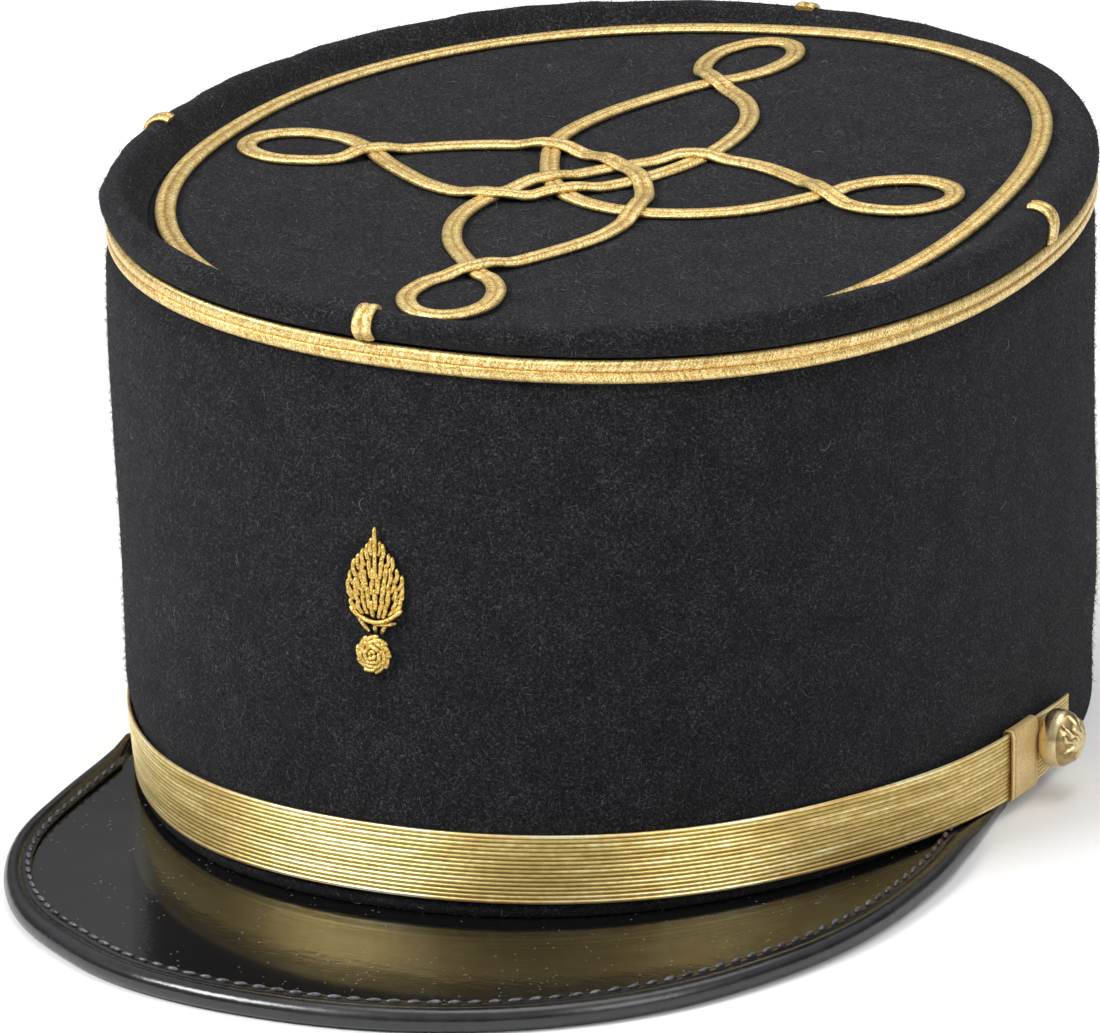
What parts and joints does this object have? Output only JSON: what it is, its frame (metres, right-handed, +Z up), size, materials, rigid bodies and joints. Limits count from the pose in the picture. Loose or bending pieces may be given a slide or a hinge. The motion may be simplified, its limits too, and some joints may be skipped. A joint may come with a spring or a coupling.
{
  "type": "kepi",
  "caption": "Dress kepi of dark blue-black felt with a sunk top, gold braid and knot, flame badge, ribbed gold chin strap with gilt buttons and a flat black patent leather peak.",
  "frame": {"origin": "the middle of the cap's footprint, at the level of its lower edge", "axes": "+Z up from the lower edge to the top, +Y from the peak to the back, +X to the wearer's left"},
  "size_m": [0.1824, 0.2562, 0.1107],
  "materials": {
    "felt": "napped wool",
    "gilt_braid": "metallic cord",
    "gilt_strap": "ribbed metallic cord",
    "gilt_cloth": "woven metallic",
    "gilt_embroidery": "metallic embroidery",
    "patent_leather": "patent",
    "binding_leather": "glossy",
    "gilt_brass": "gilt"
  },
  "bodies": {
    "root": {"crown_side": "felt", "crown_top": "felt", "ring_braid": "gilt_braid", "top_braid": "gilt_braid", "knot_braid": "gilt_braid", "stub_front": "gilt_braid", "stub_left": "gilt_braid", "stub_back": "gilt_braid", "stub_right": "gilt_braid", "badge_flame": "gilt_embroidery", "badge_ball": "gilt_embroidery", "visor": "patent_leather", "visor_binding": "binding_leather", "chin_strap": "gilt_strap", "strap_loop_left": "gilt_cloth", "strap_loop_right": "gilt_cloth", "button_left": "gilt_brass", "button_right": "gilt_brass"}
  },
  "joints": []
}
